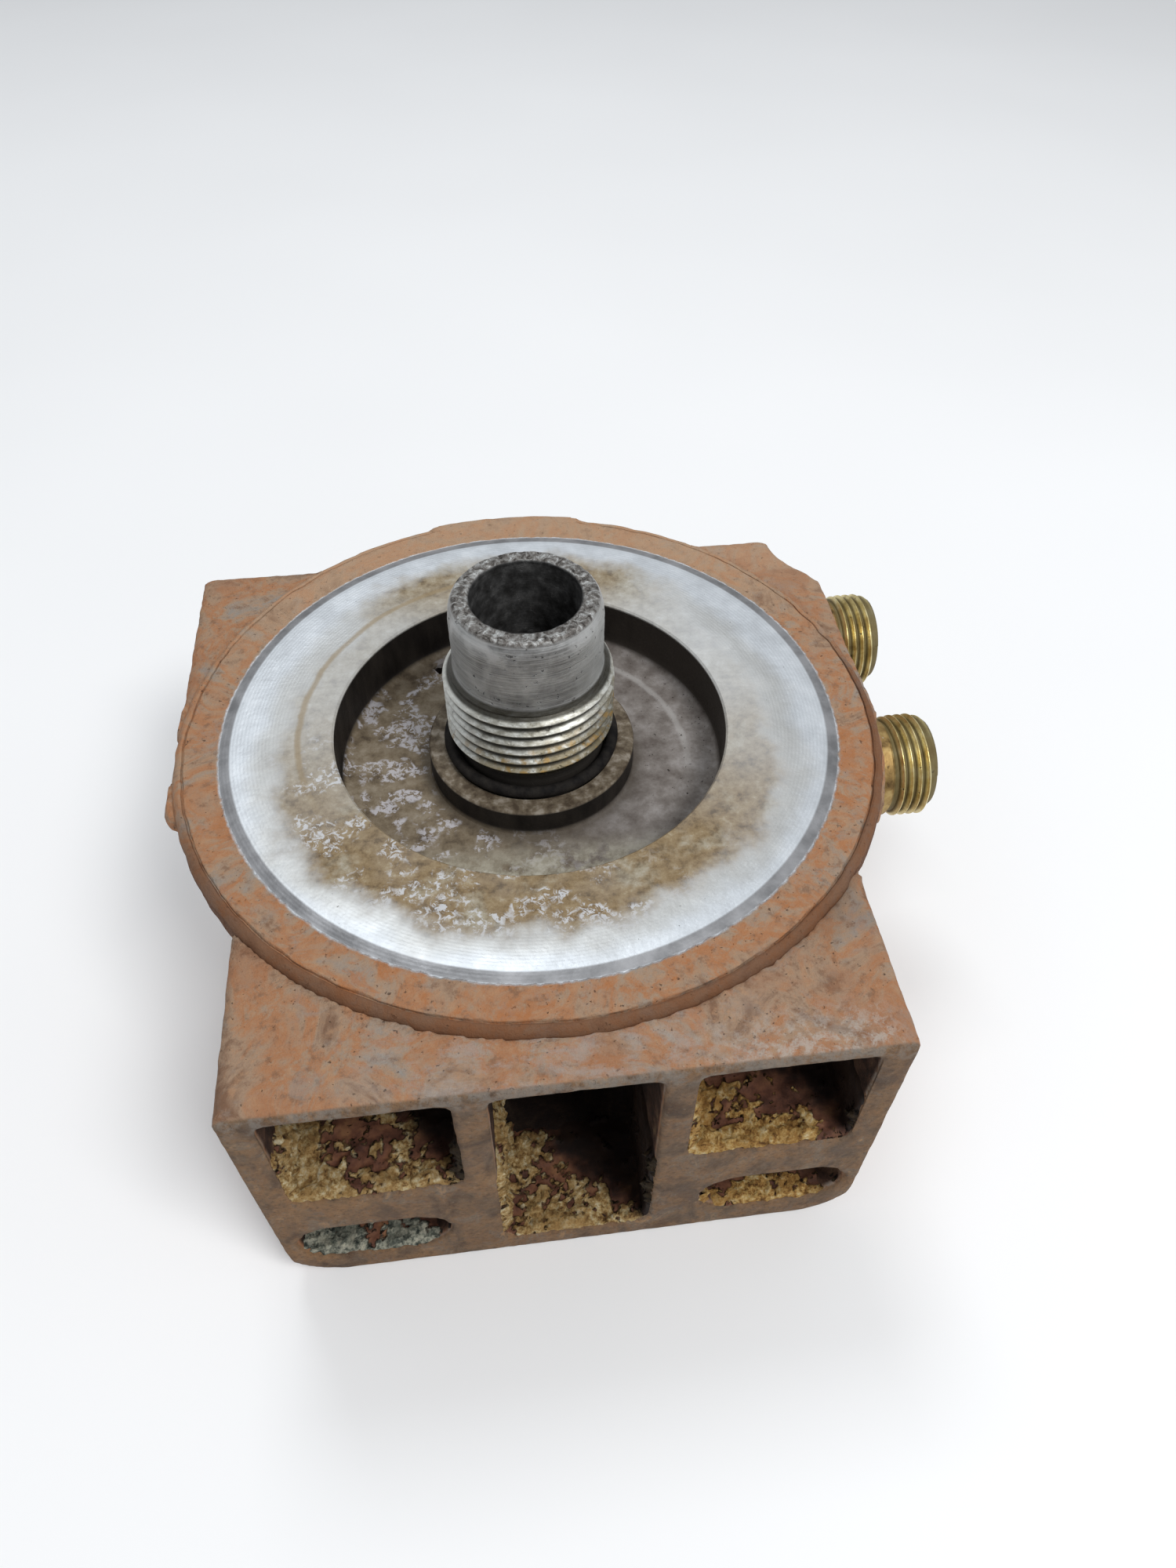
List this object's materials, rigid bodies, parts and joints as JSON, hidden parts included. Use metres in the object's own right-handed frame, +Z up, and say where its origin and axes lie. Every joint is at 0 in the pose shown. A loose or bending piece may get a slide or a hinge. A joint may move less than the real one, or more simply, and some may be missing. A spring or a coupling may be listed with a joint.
{
  "type": "backflow preventer head",
  "caption": "Cast-iron backflow preventer head with a round machined seat, hollow threaded centre nipple, brass side unions and a ported flange face.",
  "frame": {"origin": "on the axis of the round cartridge seat, in the plane of its machined face", "axes": "+Z up along the nipple, -Y out of the ported front face, +X out of the two test unions"},
  "size_m": [0.1274, 0.129, 0.0837],
  "materials": {
    "cast_iron": "rusted as-cast iron, with a bright machined seat",
    "plated_steel": "turned, dull zinc plating",
    "brass": "turned, tarnished",
    "black_rubber": "moulded",
    "bright_steel": "ground",
    "spring_steel": "drawn wire",
    "copper": "soft copper, dull",
    "plug_steel": "dark phosphate coating"
  },
  "bodies": {
    "head": {"head_casting": "cast_iron", "centre_nipple": "plated_steel", "nipple_o_ring": "black_rubber", "stem_guide": "brass", "check_seat_ring": "brass", "check_spring": "spring_steel", "relief_seat_ring": "brass", "relief_spring": "spring_steel", "relief_cap": "plated_steel", "relief_cap_washer": "copper", "core_plugs": "plug_steel", "front_union": "brass", "front_union_washer": "copper", "front_ball_spring": "spring_steel", "front_spring_sleeve": "brass", "rear_union": "brass", "rear_union_washer": "copper", "rear_ball_spring": "spring_steel", "rear_spring_sleeve": "brass"},
    "check_valve": {"check_poppet": "brass", "check_seal_disc": "black_rubber", "check_seal_washer": "bright_steel", "check_seal_nut": "bright_steel"},
    "relief_valve": {"relief_poppet": "brass", "relief_seal_disc": "black_rubber"},
    "front_ball": {"front_test_ball": "bright_steel"},
    "rear_ball": {"rear_test_ball": "bright_steel"}
  },
  "joints": [
    {"name": "check_lift", "type": "slide", "parent": "head", "child": "check_valve", "axis": [0, 0, 1], "range_m": [0, 0.006], "stiffness_N_per_m": 400, "springref_m": -0.004, "deforming": ["check_spring"]},
    {"name": "relief_lift", "type": "slide", "parent": "head", "child": "relief_valve", "axis": [0, 1, 0], "range_m": [0, 0.003], "stiffness_N_per_m": 900, "springref_m": -0.004, "deforming": ["relief_spring"]},
    {"name": "front_ball_push", "type": "slide", "parent": "head", "child": "front_ball", "axis": [-1, 0, 0], "range_m": [0, 0.003], "stiffness_N_per_m": 150, "springref_m": -0.002, "deforming": ["front_ball_spring"]},
    {"name": "rear_ball_push", "type": "slide", "parent": "head", "child": "rear_ball", "axis": [-1, 0, 0], "range_m": [0, 0.003], "stiffness_N_per_m": 150, "springref_m": -0.002, "deforming": ["rear_ball_spring"]}
  ]
}
